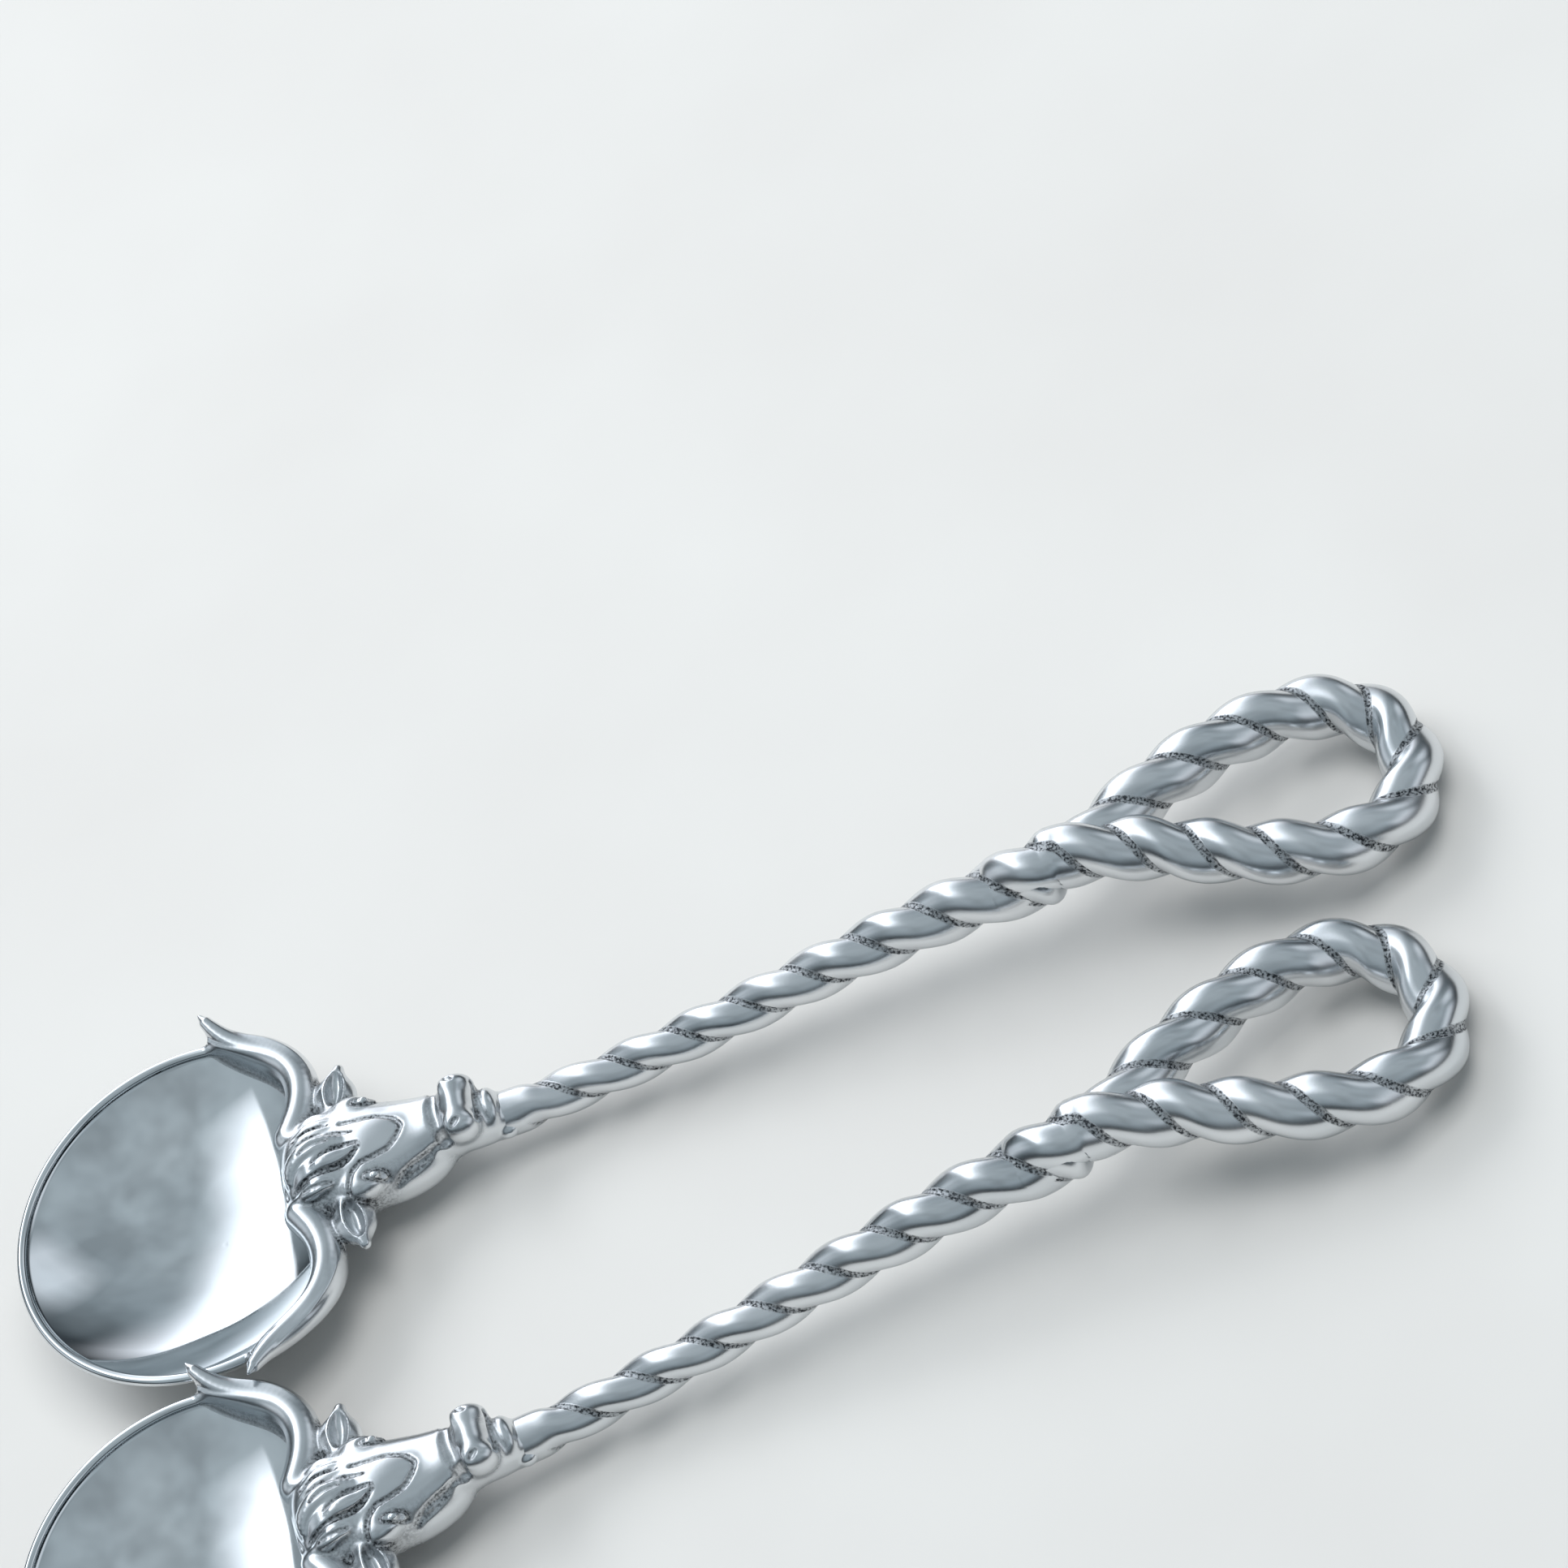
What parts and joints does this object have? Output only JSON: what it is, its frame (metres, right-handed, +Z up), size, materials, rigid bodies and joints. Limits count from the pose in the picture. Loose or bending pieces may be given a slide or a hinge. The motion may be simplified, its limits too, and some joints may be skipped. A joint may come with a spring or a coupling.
{
  "type": "salad server pair",
  "caption": "Pair of cast aluminium salad servers: round spoon bowls, each with a long-horned steer head at its root and a twisted rope handle that ends in a hanging eye.",
  "frame": {"origin": "middle of the pair's box, on the surface that both servers lie on", "axes": "+X from the bowls towards the hanging eyes, +Z up out of the open bowls"},
  "size_m": [0.3123, 0.1723, 0.0279],
  "materials": {
    "polished_cast_aluminium": "hand polished to a mirror, with soft waves left by the wheel",
    "horn_aluminium": "polished",
    "face_aluminium": "polished on the high spots, dark cast skin in the grooves",
    "antiqued_aluminium": "polished locks with dark cast grooves between them",
    "rope_aluminium": "polished strands with a grainy, darker cast skin in the grooves"
  },
  "bodies": {
    "server_a": {"server_a_bowl": "polished_cast_aluminium", "server_a_left_horn": "horn_aluminium", "server_a_right_horn": "horn_aluminium", "server_a_head": "face_aluminium", "server_a_forelock": "antiqued_aluminium", "server_a_left_ear": "face_aluminium", "server_a_right_ear": "face_aluminium", "server_a_muzzle": "face_aluminium", "server_a_lip": "face_aluminium", "server_a_handle": "rope_aluminium", "server_a_eye_left_leg": "rope_aluminium", "server_a_eye_right_leg": "rope_aluminium"},
    "server_b": {"server_b_bowl": "polished_cast_aluminium", "server_b_left_horn": "horn_aluminium", "server_b_right_horn": "horn_aluminium", "server_b_head": "face_aluminium", "server_b_forelock": "antiqued_aluminium", "server_b_left_ear": "face_aluminium", "server_b_right_ear": "face_aluminium", "server_b_muzzle": "face_aluminium", "server_b_lip": "face_aluminium", "server_b_handle": "rope_aluminium", "server_b_eye_left_leg": "rope_aluminium", "server_b_eye_right_leg": "rope_aluminium"}
  },
  "joints": [
    {"name": "server_b_lift", "type": "slide", "parent": "server_a", "child": "server_b", "axis": [0, 0, 1], "range_m": [0, 0.12]}
  ]
}
